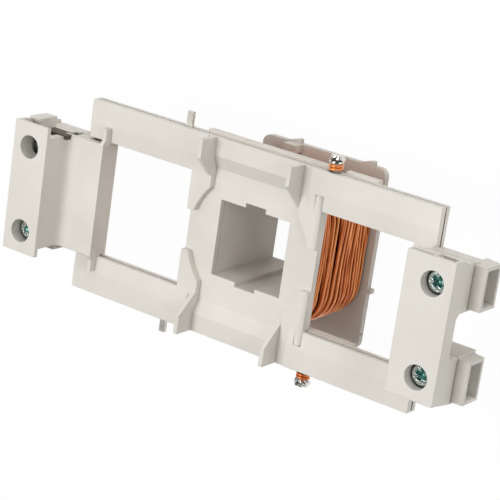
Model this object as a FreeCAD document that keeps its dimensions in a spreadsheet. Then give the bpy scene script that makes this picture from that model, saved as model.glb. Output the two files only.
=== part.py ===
import FreeCAD, Part
import math
import os
import re
import Sketcher

# Plug-in magnet coil of a large three-pole contactor.
# The part lies on the rear flange of its bobbin: Z is the axis of the bore and points to the screw side,
# X runs along the long carrier plate, Y across it. The origin is on the bore axis at the resting face.

# Driving dimensions in millimetres
SIZES = {
    # carrier plate: front moulding, strip channel, rear moulding
    "plate_top": 32.4,        # front face of the plate above the resting face
    "plate_left": 55.6,       # end of the plate on the left of the bore axis
    "plate_half": 26.7,       # half of the plate's width
    "skin": 1.4,              # thickness of the front moulding's plate
    "channel": 0.6,           # gap between the mouldings, where the contact strips lie
    "rear_skin": 1.4,         # thickness of the rear moulding's plate
    "ledge_rise": 0.3,        # outer part of each bar stands this much proud
    "fold_half": 20.7,        # line where a bar starts to slope down to its window
    "window_inner": 20.4,     # edge of a core window that faces the bore
    "window_outer": 48.3,     # edge of a core window that faces the terminals
    "window_half": 16.2,      # half of a core window's height
    # centre of the plate round the bore
    "recess": 1.8,            # depth of the centre panel below the plate's front
    "panel_gap": 0.6,         # from a strip's inner edge to where the bars slope down to the panel
    "slope": 3.6,             # length of that slope
    "bore_width": 22.0,
    "bore_height": 20.6,
    "key_width": 6.4,         # keyway in the upper and lower bore wall
    "key_depth": 1.2,
    "rib_place": 13.95,       # middle plane of a gusset rib from the rib centre line
    "rib_shift": -0.6,        # centre line of the ribs from the bore axis
    "rib_thick": 1.2,
    "rib_rise": 6.0,          # height of a rib above the plate's front
    "rib_flat": 5.1,          # full height of a rib lasts this far from the plate's edge
    "rib_length": 12.3,       # from the plate's edge to a rib's tip
    "pad_radius": 19.1,       # circle round the bore axis that the corner pads end on
    "pad_low": 5.6,           # lower end of a corner pad
    "groove_inner": 18.6,     # groove along the window edge of the corner pads, from the bore axis
    "groove_outer": 21.0,
    "groove_depth": 1.2,
    "groove_stop": 1.6,       # the groove ends this far before the bars' slope
    # terminal blocks
    "wall": 1.2,              # walls of the terminal blocks
    "column_rise": 11.7,      # front face of the terminal blocks above the plate's front
    "column_half": 18.2,      # half of the blocks' height
    "joint_rise": 2.7,        # parting line of the blocks above the plate's front
    "joint_gap": 0.2,         # groove along the parting line
    "arch_rise": 4.5,         # rise of the arch between two towers above the parting line
    "arch_corner": 1.2,
    "left_inner": 60.7,
    "left_outer": 72.3,
    "right_inner": 53.4,
    "right_outer": 66.9,
    "link_rise": 3.1,         # front of the wall that links the left block to the plate
    "link_half": 15.8,
    "link_round": 1.6,        # hollow rounding between that wall and the left block
    "step_half": 20.2,        # reach of the raised step past the window's corners
    "tower_drop": 6.2,        # back of the terminal towers below the plate's front
    "tower_pitch": 24.0,
    "tower_shift": -1.2,
    "tower_height": 12.3,
    "end_step": 1.5,          # the towers' ends fall back by this much below the plate's front
    "shoulder": 3.9,          # depth of the upper end face before it falls back to the tower
    "window_width": 5.1,      # opening in a right tower's end, where the clamp shows
    "window_back": 6.2,       # back of that opening above the plate's front
    "slot_width": 6.0,        # narrow slot beside that opening
    "slot_height": 0.6,
    "slot_depth": 1.3,
    "funnel_reach": 3.4,
    "funnel_slant": 1.0,      # a funnel is this much deeper at its root than at its mouth
    "funnel_height": 11.1,
    "funnel_back": 4.7,       # back of a wire funnel below the plate's front
    "funnel_wall": 0.9,
    "throat_height": 7.4,
    # clamp screws and what they pull on
    "screw_inset": 5.6,       # screw axis from the outer face of its block
    "screw_pitch": 23.8,
    "screw_shift": -0.3,
    "well_diameter": 6.4,
    "head_diameter": 5.8,
    "head_height": 2.2,
    "head_bevel": 0.6,
    "recess_width": 1.0,      # arms of the cross recess
    "recess_span": 3.2,
    "recess_depth": 1.4,
    "shank_diameter": 3.4,
    "shank_length": 9.4,
    "left_depth": 5.5,        # heads of the tightened left screws below the block's front
    "right_depth": 2.6,       # heads of the backed-out right screws below the block's front
    "clamp_side": 7.2,
    "clamp_thick": 1.0,
    "nut_side": 5.6,
    "nut_thick": 2.4,
    "fit": 0.15,              # clearance between pieces that seat in each other
    "thread_fit": 0.05,       # clearance round a shank
    # contact strips
    "strip_thick": 0.5,
    "strip_margin": 0.7,      # from a strip's long run to the plate's edge
    "strip_width": 3.6,
    "riser_inner": 50.0,      # inner edge of the leg that leads down to the terminals
    "pad_side": 5.2,
    "tab_width": 1.8,
    "tab_fold": 0.5,
    "tab_reach": 4.1,         # a tab stands this far out of the plate's edge
    "pin_place": 24.4,        # plain tab, left of the bore axis
    "post_place": 21.8,       # tab that carries a winding lead, right of the bore axis
    # bobbin
    "tube_wall": 2.0,
    "rear_flange": 1.8,
    "rear_flange_half": 20.0,
    "rear_flange_top": 22.8,
    "rear_flange_low": 25.6,
    "rear_flange_round": 2.4,
    "lug_left": -8.0,         # steep end of the left lug on the rear flange's upper edge
    "lug_right": 15.7,        # steep end of the right lug
    "lug_run": 4.3,
    "lug_rise": 1.1,
    "nub_place": 10.9,        # nub on the rear flange's right edge, below the bore axis
    "nub_side": 1.2,
    "guide_left": 11.0,       # left end of the lead guide on the rear flange
    "guide_width": 3.9,
    "guide_rise": 3.4,
    "front_flange": 2.1,
    "front_flange_half": 19.3,
    "flange_overhang": 0.5,   # front flange past the plate's edge
    "ear_reach": 33.7,        # ears of the front flange, behind the bars on the right
    "post_notch": 4.4,
    "notch_depth": 4.4,
    "lead_in": 2.0,           # the bore's rear mouth widens by this much all round
    "lead_in_depth": 2.2,
    # winding
    "winding_half_x": 17.9,
    "winding_half_y": 18.6,
    "winding_round": 9.0,
    "winding_bulge": 0.5,
    "winding_turns": 9,
    "ridge": 0.35,            # a turn stands this much proud of the gap beside it
    "winding_gap": 0.1,
    "wire": 0.8,
    "wrap_turns": 2,
    "solder_width": 4.3,
    "solder_height": 2.85,
}

doc = FreeCAD.newDocument("contactor_coil")
sheet = doc.addObject("Spreadsheet::Sheet", "sizes")
for row, (alias, size) in enumerate(SIZES.items(), 1):
    sheet.set(f"A{row}", alias)
    sheet.set(f"B{row}", str(size))
    sheet.setAlias(f"B{row}", alias)
doc.recompute()

# Levels along Z, written in the sheet's names
FRONT = "plate_top"
SKIN_BACK = "plate_top - skin"
REAR_FACE = "plate_top - skin - channel"
REAR_BACK = "plate_top - skin - channel - rear_skin"
PANEL_FRONT = "plate_top - recess"
PANEL_BACK = "plate_top - skin - channel - rear_skin + winding_gap"
LINK = "plate_top + link_rise"
JOINT = "plate_top + joint_rise"
REAR_TOP = "plate_top + joint_rise - joint_gap"
ARCH = "plate_top + joint_rise + arch_rise"
COLUMN = "plate_top + column_rise"
TOWER_BACK = "plate_top - tower_drop"
NUT_FLOOR = "plate_top - skin - channel - nut_thick"
FLANGE_BACK = "plate_top - skin - channel - rear_skin - front_flange"
STRIP_TOP = "plate_top - skin - channel + strip_thick"

# Places along X and Y that several pieces share
PLATE_RIGHT = "right_inner + wall"
STRIP_OUTER = "(plate_half - strip_margin)"
STRIP_INNER = "(plate_half - strip_margin - strip_width)"
PANEL_HALF = "(plate_half - strip_margin - strip_width - panel_gap)"
RIB_TIP = "(plate_half - rib_length)"
TAB_END = "(plate_half + tab_reach)"
FLANGE_REACH = "(plate_half + flange_overhang)"
RISER_OUTER = "riser_inner + strip_width"
CLAMP_HALF = "clamp_side / 2 + fit"
SIDES = {"left": -1, "right": 1}
LEVELS = {"upper": 1, "lower": -1}


def bound(text):
    """Turn a formula in the sheet's names into an expression that FreeCAD can follow."""
    return re.sub(r"[a-z_]+", lambda word: "sizes." + word[0] if word[0] in SIZES else word[0], text)


def size(alias):
    return sheet.get(alias)


def screw_place(side, level):
    """X and Y of a clamp screw's axis."""
    x = f"{SIDES[side]} * ({side}_outer - screw_inset)"
    return x, f"screw_shift + {LEVELS[level]} * screw_pitch / 2"


def tower_span(level):
    """Lower and upper Y of a terminal tower."""
    middle = f"tower_shift + {LEVELS[level]} * tower_pitch / 2"
    return f"{middle} - tower_height / 2", f"{middle} + tower_height / 2"


def across(side, near, far):
    """X span on one side of the bore axis, from two distances to it, lower end first."""
    return (near, far) if side == "right" else (f"-({far})", f"-({near})")


# Sketches and features

def rectangle(x_span, y_span):
    (x0, x1), (y0, y1) = x_span, y_span
    return [(x0, y0), (x1, y0), (x1, y1), (x0, y1)]


def both(half):
    return f"-({half})", half


def round_hole(x, y, diameter):
    return {"x": x, "y": y, "diameter": diameter}


def place_point(sketch, geometry, point, place):
    for axis, distance in zip("XY", place):
        number = sketch.addConstraint(Sketcher.Constraint("Distance" + axis, -1, 1, geometry, point, 1.0))
        sketch.setExpression(f"Constraints[{number}]", bound(distance))


def add_circle(sketch, hole):
    circle = Part.Circle(FreeCAD.Vector(1, 1, 0), FreeCAD.Vector(0, 0, 1), 1)
    geometry = sketch.addGeometry(circle, False)
    place_point(sketch, geometry, 3, (hole["x"], hole["y"]))
    number = sketch.addConstraint(Sketcher.Constraint("Diameter", geometry, 2.0))
    sketch.setExpression(f"Constraints[{number}]", bound(hole["diameter"]))


def add_corners(sketch, corners):
    """Closed run of straight lines through corners that the sheet's values place."""
    count = len(corners)
    first = sketch.GeometryCount
    turn = 2 * math.pi / count
    ring = [FreeCAD.Vector(math.cos(turn * i), math.sin(turn * i), 0) for i in range(count)]
    for i in range(count):
        sketch.addGeometry(Part.LineSegment(ring[i], ring[(i + 1) % count]), False)
    for i in range(count):
        sketch.addConstraint(Sketcher.Constraint("Coincident", first + i, 2, first + (i + 1) % count, 1))
    for i, corner in enumerate(corners):
        place_point(sketch, first + i, 1, corner)


def add_line(sketch, start, end):
    turn = sketch.GeometryCount + 1
    line = Part.LineSegment(FreeCAD.Vector(turn, 0, 0), FreeCAD.Vector(turn, 1, 0))
    geometry = sketch.addGeometry(line, False)
    place_point(sketch, geometry, 1, start)
    place_point(sketch, geometry, 2, end)


def add_arc(sketch, start, end):
    """Arc whose tangent is level at its end, so that the face beyond runs into it smoothly."""
    (x0, y0), (x1, y1) = [[sketch.evalExpression(bound(text)) for text in place] for place in (start, end)]
    radius = ((x0 - x1) ** 2 + (y1 - y0) ** 2) / (2 * (y1 - y0))
    circle = Part.Circle(FreeCAD.Vector(x1, y1 - radius, 0), FreeCAD.Vector(0, 0, 1), radius)
    first_angle = math.asin((radius - (y1 - y0)) / radius)
    geometry = sketch.addGeometry(Part.ArcOfCircle(circle, first_angle, math.pi / 2), False)
    place_point(sketch, geometry, 1, start)
    place_point(sketch, geometry, 2, end)
    number = sketch.addConstraint(Sketcher.Constraint("DistanceX", -1, 1, geometry, 3, x1))
    sketch.setExpression(f"Constraints[{number}]", bound(end[0]))


def add_sketch(body, name, plane, level, loops):
    sketch = body.newObject("Sketcher::SketchObject", name)
    base = next(feature for feature in body.Origin.OriginFeatures if feature.Role == plane + "_Plane")
    sketch.AttachmentSupport = [(base, "")]
    sketch.MapMode = "FlatFace"
    sketch.setExpression("AttachmentOffset.Base.z", bound(level))
    for loop in loops:
        if isinstance(loop, dict):
            add_circle(sketch, loop)
        else:
            add_corners(sketch, loop)
    return sketch


def pad(body, name, plane, span, *loops):
    """Add the outline from the lower to the upper end of the span along the plane's normal."""
    low, high = span
    feature = body.newObject("PartDesign::Pad", name)
    feature.Profile = add_sketch(body, name + "_outline", plane, low, loops)
    feature.setExpression("Length", bound(f"({high}) - ({low})"))
    return feature


def pocket(body, name, plane, span, *loops):
    """Cut the outline away from the upper down to the lower end of the span."""
    low, high = span
    feature = body.newObject("PartDesign::Pocket", name)
    feature.Profile = add_sketch(body, name + "_outline", plane, high, loops)
    feature.setExpression("Length", bound(f"({high}) - ({low})"))
    return feature


def round_edges(body, name, radius, chosen):
    """Round the edges of the body's last feature that the test chooses."""
    doc.recompute()
    tip = body.Tip
    edges = [f"Edge{i}" for i, edge in enumerate(tip.Shape.Edges, 1) if chosen(edge)]
    feature = body.newObject("PartDesign::Fillet", name)
    feature.Base = (tip, edges)
    feature.setExpression("Radius", bound(radius))
    tip.Visibility = False
    return feature


def lies_along(edge, axis, **places):
    """True for a straight edge along one axis whose middle lies at the given places."""
    if edge.Curve.TypeId != "Part::GeomLine":
        return False
    box = edge.BoundBox
    spans = {"x": box.XLength, "y": box.YLength, "z": box.ZLength}
    straight = all(spans[other] < 1e-4 for other in "xyz" if other != axis)
    middle = {"x": box.Center.x, "y": box.Center.y, "z": box.Center.z}
    return straight and all(abs(middle[key] - value) < 1e-3 for key, value in places.items())


def new_body(label):
    body = doc.addObject("PartDesign::Body", label)
    body.Label = label
    return body


def bore_corners():
    """Bore outline with a keyway in the middle of its upper and lower wall."""
    x, y = "bore_width / 2", "bore_height / 2"
    key, deep = "key_width / 2", "bore_height / 2 + key_depth"
    half = [(f"-({x})", y), (f"-({key})", y), (f"-({key})", deep), (key, deep), (key, y), (x, y)]
    return half + [(place_x, f"-({place_y})") for place_x, place_y in reversed(half)]


# Front moulding

def plate_opening(gap="0"):
    """Both core windows and the place of the centre panel, as one twelve-cornered opening."""
    inner, outer, half = "window_inner + " + gap, "window_outer", "window_half"
    middle = f"{PANEL_HALF} + {gap}"
    quarter = [(outer, half), (inner, half), (inner, middle)]
    upper = quarter + [(f"-({x})", y) for x, y in reversed(quarter)]
    return upper + [(x, f"-({y})") for x, y in reversed(upper)]


def block_profile():
    """Side view of a terminal block in Y and Z: two towers on a common front wall, an arch between."""
    low_2, high_2 = tower_span("lower")
    low_1, high_1 = tower_span("upper")
    return [
        ("-(column_half)", COLUMN), ("column_half", COLUMN),
        ("column_half", f"{COLUMN} - shoulder"), (high_1, f"{JOINT} + 2 * arch_corner"), (high_1, JOINT),
        (low_1, JOINT), (low_1, f"{ARCH} - arch_corner"), (f"{low_1} - arch_corner", ARCH),
        (f"{high_2} + arch_corner", ARCH), (high_2, f"{ARCH} - arch_corner"), (high_2, JOINT),
        (low_2, JOINT), ("-(column_half)", f"{COLUMN} - wall"),
    ]


def add_centre(body):
    """Panel round the bore, set back from the bars, with corner pads and gusset ribs."""
    for name, side in SIDES.items():
        for row, level in LEVELS.items():
            corner = rectangle((f"{side} * rib_place", f"{side} * window_inner"),
                               (f"{level} * pad_low", f"{level} * {PANEL_HALF}"))
            pad(body, f"pad_{name}_{row}", "XY", (PANEL_BACK, FRONT), corner)
    pocket(body, "pad_arcs", "XY", (PANEL_BACK, FRONT), round_hole("0", "0", "2 * pad_radius"))
    slope_end = f"{PANEL_HALF} - slope"
    upper = [
        ("plate_half", SKIN_BACK), ("plate_half", FRONT), (PANEL_HALF, FRONT),
        (slope_end, PANEL_FRONT),
    ]
    under = [(slope_end, PANEL_BACK), (PANEL_HALF, SKIN_BACK)]
    front = upper + [(f"-({y})", z) for y, z in reversed(upper)]
    back = [(f"-({y})", z) for y, z in reversed(under)] + under
    pad(body, "centre_panel", "YZ", both("window_inner"), front + back)
    for row in LEVELS:
        cut_groove(body, row)
    for name, side in SIDES.items():
        for row, level in LEVELS.items():
            middle = f"rib_shift + {side} * rib_place"
            corners = [
                (f"{level} * plate_half", SKIN_BACK), (f"{level} * plate_half", f"{FRONT} + rib_rise"),
                (f"{level} * (plate_half - rib_flat)", f"{FRONT} + rib_rise"),
                (f"{level} * {RIB_TIP}", PANEL_FRONT), (f"{level} * {RIB_TIP}", PANEL_BACK),
                (f"{level} * ({slope_end})", PANEL_BACK), (f"{level} * {PANEL_HALF}", SKIN_BACK),
            ]
            span = (f"{middle} - rib_thick / 2", f"{middle} + rib_thick / 2")
            pad(body, f"rib_{name}_{row}", "YZ", span, corners)
    pocket(body, "bore", "XY", (REAR_BACK, FRONT), bore_corners())


def cut_groove(body, row):
    """Groove along a right-hand pad's window edge: rounded on the pad's side, upright on the bar's."""
    near, far = "groove_inner", "groove_outer"
    floor = f"{FRONT} - groove_depth"
    stop = f"{PANEL_HALF} - groove_stop"
    span = (f"-({stop})", "-pad_low") if row == "upper" else ("pad_low", stop)
    feature = body.newObject("PartDesign::Pocket", f"groove_{row}")
    sketch = add_sketch(body, f"groove_{row}_outline", "XZ", span[1], [])
    for start, end in (((near, FRONT), (far, FRONT)), ((far, FRONT), (far, floor))):
        add_line(sketch, start, end)
    add_arc(sketch, (far, floor), (near, FRONT))
    feature.Profile = sketch
    feature.setExpression("Length", bound(f"{span[1]} - ({span[0]})"))


def add_ledges(body):
    """Bars beside the ribs: a little proud over the strips, then falling gently to the windows."""
    outer_rib = "rib_place + 2 * rib_thick"
    for name, far in (("left", "plate_left"), ("right", PLATE_RIGHT)):
        for row, level in LEVELS.items():
            profile = [(f"{level} * window_half", SKIN_BACK), (f"{level} * window_half", FRONT),
                       (f"{level} * fold_half", f"{FRONT} + ledge_rise"),
                       (f"{level} * plate_half", f"{FRONT} + ledge_rise"), (f"{level} * plate_half", SKIN_BACK)]
            pad(body, f"ledge_{name}_{row}", "YZ", across(name, outer_rib, far), profile)


def add_link(body):
    """Wall that carries the left block, and the raised side wall of the left window."""
    wall_back = f"{LINK} - wall"
    pad(body, "link_wall", "XY", (wall_back, LINK),
        rectangle(("-left_inner", "-window_outer"), both("link_half")))
    step = [("step_half", SKIN_BACK), ("step_half", FRONT), ("link_half", LINK)]
    mirrored = [(f"-({y})", z) for y, z in reversed(step)]
    foot = [("-(link_half)", SKIN_BACK), ("-(link_half)", REAR_FACE), ("link_half", REAR_FACE),
            ("link_half", SKIN_BACK)]
    pad(body, "window_wall", "YZ", across("left", "window_outer", "window_outer + wall"),
        step + mirrored + foot)
    pad(body, "window_foot", "XY", (REAR_FACE, SKIN_BACK),
        rectangle(across("right", "window_outer", "window_outer + wall"), both("link_half")))


def add_blocks(body):
    """Both terminal blocks with their inner walls."""
    for name in SIDES:
        pad(body, f"block_{name}", "YZ", across(name, f"{name}_inner", f"{name}_outer"), block_profile())
    pad(body, "inner_wall_left", "XY", (f"{LINK} - wall", f"{COLUMN} - wall"),
        rectangle(across("left", "left_inner", "left_inner + wall"), both("link_half")))
    pad(body, "inner_wall_right", "XY", (SKIN_BACK, f"{COLUMN} - wall"),
        rectangle(across("right", "right_inner", "right_inner + wall"), both("window_half")))


def cut_blocks(body):
    """Screw wells, clamp chambers under them and the open ends of the towers."""
    for name in SIDES:
        for row, level in LEVELS.items():
            x, y = screw_place(name, row)
            tag = f"{name}_{row}"
            pocket(body, f"well_{tag}", "XY", (JOINT, COLUMN), round_hole(x, y, "well_diameter"))
            chamber = rectangle((f"{x} - ({CLAMP_HALF})", f"{x} + {CLAMP_HALF}"),
                                (f"{y} - ({CLAMP_HALF})", f"{y} + {CLAMP_HALF}"))
            pocket(body, f"chamber_{tag}", "XY", (JOINT, f"{COLUMN} - right_depth - head_height + fit"),
                   chamber)
            cut_open_end(body, name, row)


def cut_open_end(body, name, row):
    """Opening in a tower's end: the whole end on the left, a window and a narrow slot on the right."""
    level = LEVELS[row]
    y = screw_place(name, row)[1]
    inside = f"{COLUMN} - wall"
    y_span = [f"{y} + {level} * ({CLAMP_HALF})", f"{level} * (column_half + wall)"]
    if name == "left":
        spans = (across(name, "left_inner - wall", "left_outer - wall"), (JOINT, inside))
    else:
        far = "right_outer - wall"
        spans = (across(name, f"{far} - window_width", far), (f"{FRONT} + window_back", inside))
        slot_x = across(name, f"{far} - window_width - wall / 2 - slot_width",
                        f"{far} - window_width - wall / 2")
        slot_y = [f"{level} * (column_half - slot_depth)", f"{level} * (column_half + wall)"]
        pocket(body, f"end_slot_{row}", "XY", (f"{inside} - slot_height", inside),
               rectangle(slot_x, slot_y))
    pocket(body, f"open_end_{name}_{row}", "XY", spans[1], rectangle(spans[0], y_span))


def front_frame():
    body = new_body("front_frame")
    outline = rectangle(("-plate_left", PLATE_RIGHT), both("plate_half"))
    pad(body, "plate", "XY", (SKIN_BACK, FRONT), outline, plate_opening())
    pocket(body, "link_gap", "XY", (SKIN_BACK, FRONT),
           rectangle(("-plate_left - wall", "-window_outer - wall"), both("window_half")))
    add_ledges(body)
    add_centre(body)
    add_link(body)
    add_blocks(body)
    cut_blocks(body)
    round_edges(body, "link_rounding", "link_round",
                lambda edge: lies_along(edge, "y", x=-size("left_inner"),
                                        z=size("plate_top") + size("link_rise")))
    return body


# Rear moulding

def add_rear_tower(body, name, row):
    """Back half of a terminal tower, its end stepped back, with its wire funnel."""
    tag = f"{name}_{row}"
    level = LEVELS[row]
    near, far = f"{name}_inner", f"{name}_outer"
    middle = f"tower_shift + {level} * tower_pitch / 2"
    inner_end = f"{middle} - {level} * tower_height / 2"
    outer_end = f"{middle} + {level} * tower_height / 2"
    short = [inner_end, f"{outer_end} - {level} * end_step"]
    pad(body, f"base_{tag}", "XY", (TOWER_BACK, REAR_FACE), rectangle(across(name, near, far), short))
    pad(body, f"tower_{tag}", "XY", (REAR_FACE, REAR_TOP),
        rectangle(across(name, f"{near} + wall + fit", far), short))
    if tag != "left_lower":
        rim = across(name, f"{far} - 1.5 * wall" if name == "left" else f"{near} + wall + fit", far)
        pad(body, f"rim_{tag}", "XY", (FRONT, REAR_TOP), rectangle(rim, [inner_end, outer_end]))
    root, mouth = f"{SIDES[name]} * ({far} - wall)", f"{SIDES[name]} * ({far} + funnel_reach)"
    back = f"{FRONT} - funnel_back"
    profile = [(root, REAR_TOP), (mouth, REAR_TOP), (mouth, back), (root, f"{back} - funnel_slant")]
    pad(body, f"funnel_{tag}", "XZ",
        (f"-({middle}) - funnel_height / 2", f"-({middle}) + funnel_height / 2"), profile)


def cut_rear_tower(body, name, row):
    """Room for the clamp, seat of the nut, slot for the strip and the tapered mouth for the wire."""
    tag = f"{name}_{row}"
    sign = SIDES[name]
    near, far = f"{name}_inner", f"{name}_outer"
    x, y = screw_place(name, row)
    middle = f"tower_shift + {LEVELS[row]} * tower_pitch / 2"
    room_y = (f"{middle} - throat_height / 2", f"{middle} + throat_height / 2")
    room_x = across(name, f"{far} - screw_inset - ({CLAMP_HALF})", f"{far} - wall")
    pocket(body, f"clamp_room_{tag}", "XY", (REAR_FACE, REAR_TOP), rectangle(room_x, room_y))
    seat = "nut_side / 2 + fit"
    pocket(body, f"nut_seat_{tag}", "XY", (NUT_FLOOR, REAR_FACE),
           rectangle((f"{x} - ({seat})", f"{x} + {seat}"), (f"{y} - ({seat})", f"{y} + {seat}")))
    pocket(body, f"shank_room_{tag}", "XY", (f"{TOWER_BACK} + wall / 2", NUT_FLOOR),
           round_hole(x, y, "shank_diameter + 4 * fit"))
    neck = neck_span(row)
    pocket(body, f"strip_slot_{tag}", "XY", (REAR_FACE, f"{STRIP_TOP} + fit"),
           rectangle(across(name, near, f"{far} - screw_inset"), (f"{neck[0]} - fit", f"{neck[1]} + fit")))
    mouth = rectangle(
        (f"{middle} - funnel_height / 2 + funnel_wall", f"{middle} + funnel_height / 2 - funnel_wall"),
        (f"{FRONT} - funnel_back + funnel_wall", f"{REAR_TOP} - funnel_wall"))
    throat = rectangle(room_y, (REAR_FACE, f"{REAR_TOP} - funnel_wall"))
    opening = body.newObject("PartDesign::SubtractiveLoft", f"mouth_{tag}")
    opening.Profile = add_sketch(body, f"mouth_{tag}_outline", "YZ", f"{sign} * ({far} + funnel_reach)",
                                 [mouth])
    opening.Sections = [add_sketch(body, f"throat_{tag}_outline", "YZ", f"{sign} * ({far} - wall)",
                                   [throat])]
    opening.Ruled = True


def add_spacers(body):
    """Round bosses on the bars' inner half, which hold the channel open."""
    middle = f"(window_half + {PANEL_HALF}) / 2"
    for name, side in SIDES.items():
        for row, level in LEVELS.items():
            boss = round_hole(f"{side} * (window_inner + window_outer) / 2", f"{level} * {middle}", "2 * wall")
            pad(body, f"spacer_{name}_{row}", "XY", (REAR_FACE, SKIN_BACK), boss)


def rear_frame():
    body = new_body("rear_frame")
    outline = rectangle(("-plate_left", PLATE_RIGHT), both("plate_half"))
    pad(body, "rear_plate", "XY", (REAR_BACK, REAR_FACE), outline, plate_opening("fit"))
    pad(body, "tongue", "XY", (REAR_BACK, REAR_FACE),
        rectangle(("-left_inner", "-plate_left"), both("link_half")))
    add_spacers(body)
    for name in SIDES:
        for row in LEVELS:
            add_rear_tower(body, name, row)
    for name in SIDES:
        for row in LEVELS:
            cut_rear_tower(body, name, row)
    return body


# Contact strips

def neck_span(row):
    """Y span of the strip where it leads into a terminal, lower end first."""
    level = LEVELS[row]
    outer = f"screw_shift + {level} * (screw_pitch / 2 + pad_side / 2)"
    inner = f"screw_shift + {level} * (screw_pitch / 2 + pad_side / 2 - strip_width)"
    return (inner, outer) if level > 0 else (outer, inner)


def strip_outline(row):
    """One strip seen from the front: terminal pads, necks, legs and the long run along the bar."""
    level = LEVELS[row]
    neck_low, neck_high = neck_span(row)
    neck_inner, neck_outer = (neck_low, neck_high) if level > 0 else (neck_high, neck_low)
    pad_inner = f"screw_shift + {level} * (screw_pitch / 2 - pad_side / 2)"
    half = []
    for name in ("right", "left"):
        sign = SIDES[name]
        screw = f"({name}_outer - screw_inset)"
        points = [
            ("riser_inner", STRIP_INNER), ("riser_inner", neck_inner),
            (f"{screw} - pad_side / 2", neck_inner), (f"{screw} - pad_side / 2", pad_inner),
            (f"{screw} + pad_side / 2", pad_inner), (f"{screw} + pad_side / 2", neck_outer),
            (RISER_OUTER, neck_outer), (RISER_OUTER, STRIP_OUTER),
        ]
        points = [(f"{sign} * ({x})", y if "screw_shift" in y else f"{level} * ({y})") for x, y in points]
        half.append(points)
    right, left = half
    return right + list(reversed(left))


def contact_strip(row):
    body = new_body(f"contact_strip_{row}")
    level = LEVELS[row]
    holes = [round_hole(*screw_place(name, row), "shank_diameter + 4 * fit") for name in SIDES]
    pad(body, "strip", "XY", (REAR_FACE, STRIP_TOP), strip_outline(row), *holes)
    for tag, place in (("pin", "-pin_place"), ("post", "post_place")):
        x_span = (f"{place} - tab_width / 2", f"{place} + tab_width / 2")
        y_span = [f"{level} * ({STRIP_OUTER} - wall)", f"{level} * {TAB_END}"]
        pad(body, f"{tag}_tab", "XY", (REAR_FACE, STRIP_TOP), rectangle(x_span, y_span))
        fold_y = [f"{level} * (plate_half + fit)", f"{level} * {TAB_END}"]
        pad(body, f"{tag}_fold", "XY", (f"{REAR_FACE} - tab_fold", REAR_FACE), rectangle(x_span, fold_y))
    return body


# Bobbin and winding

def bobbin():
    body = new_body("bobbin")
    rear = (both("rear_flange_half"), ("-rear_flange_low", "rear_flange_top"))
    pad(body, "rear_flange_plate", "XY", ("0", "rear_flange"), rectangle(*rear))
    round_edges(body, "rear_flange_corners", "rear_flange_round", lambda edge: lies_along(edge, "z"))
    for name in SIDES:
        steep = f"lug_{name}"
        lug = [(f"{steep} - lug_run", "rear_flange_top - lug_rise"), (steep, "rear_flange_top - lug_rise"),
               (steep, "rear_flange_top + lug_rise"), (f"{steep} - lug_run / 5", "rear_flange_top + lug_rise"),
               (f"{steep} - lug_run", "rear_flange_top")]
        pad(body, f"lug_plate_{name}", "XY", ("0", "rear_flange"), lug)
    pad(body, "nub", "XY", ("0", "rear_flange"),
        rectangle(("rear_flange_half - nub_side", "rear_flange_half + nub_side"),
                  ("-nub_place - nub_side / 2", "-nub_place + nub_side / 2")))
    pad(body, "lead_guide", "XY", ("0", "rear_flange + guide_rise"),
        rectangle(("-guide_left", "-guide_left + guide_width"),
                  ("rear_flange_top - 2 * lug_rise", "rear_flange_top")))
    pad(body, "tube", "XY", ("0", REAR_BACK),
        rectangle(both("bore_width / 2 + tube_wall"), both("bore_height / 2 + tube_wall")))
    pad(body, "front_flange_plate", "XY", (FLANGE_BACK, REAR_BACK),
        rectangle(both("front_flange_half"), both(FLANGE_REACH)))
    for row, level in LEVELS.items():
        ear_y = [f"{level} * window_half", f"{level} * {FLANGE_REACH}"]
        pad(body, f"ear_{row}", "XY", (FLANGE_BACK, REAR_BACK),
            rectangle(("front_flange_half - wall", "ear_reach"), ear_y))
        notch_y = [f"{level} * ({FLANGE_REACH} - notch_depth)", f"{level} * ({FLANGE_REACH} + wall)"]
        notch_x = ("post_place - post_notch / 2", "post_place + post_notch / 2")
        pocket(body, f"post_notch_{row}", "XY", (FLANGE_BACK, REAR_BACK), rectangle(notch_x, notch_y))
    pocket(body, "bore", "XY", ("0", REAR_BACK), bore_corners())
    x, y = "bore_width / 2", "bore_height / 2"
    mouth = body.newObject("PartDesign::SubtractiveLoft", "lead_in")
    mouth.Profile = add_sketch(body, "lead_in_mouth", "XY", "0",
                               [rectangle(both(f"{x} + lead_in"), both(f"{y} + lead_in"))])
    mouth.Sections = [add_sketch(body, "lead_in_end", "XY", "lead_in_depth", [rectangle(both(x), both(y))])]
    mouth.Ruled = True
    return body


def rounded_rectangle(half_x, half_y, radius, height):
    """Closed wire of four straight runs and four quarter circles, level at the given height."""
    edges = []
    centres = [(half_x - radius, half_y - radius), (radius - half_x, half_y - radius),
               (radius - half_x, radius - half_y), (half_x - radius, radius - half_y)]
    for i, (x, y) in enumerate(centres):
        centre = FreeCAD.Vector(x, y, height)
        arc = Part.Circle(centre, FreeCAD.Vector(0, 0, 1), radius)
        start = i * math.pi / 2
        edges.append(Part.Arc(arc, start, start + math.pi / 2).toShape())
    runs = [Part.LineSegment(edges[i].Vertexes[-1].Point, edges[(i + 1) % 4].Vertexes[0].Point).toShape()
            for i in range(4)]
    return Part.Wire([edge for pair in zip(edges, runs) for edge in pair])


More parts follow.
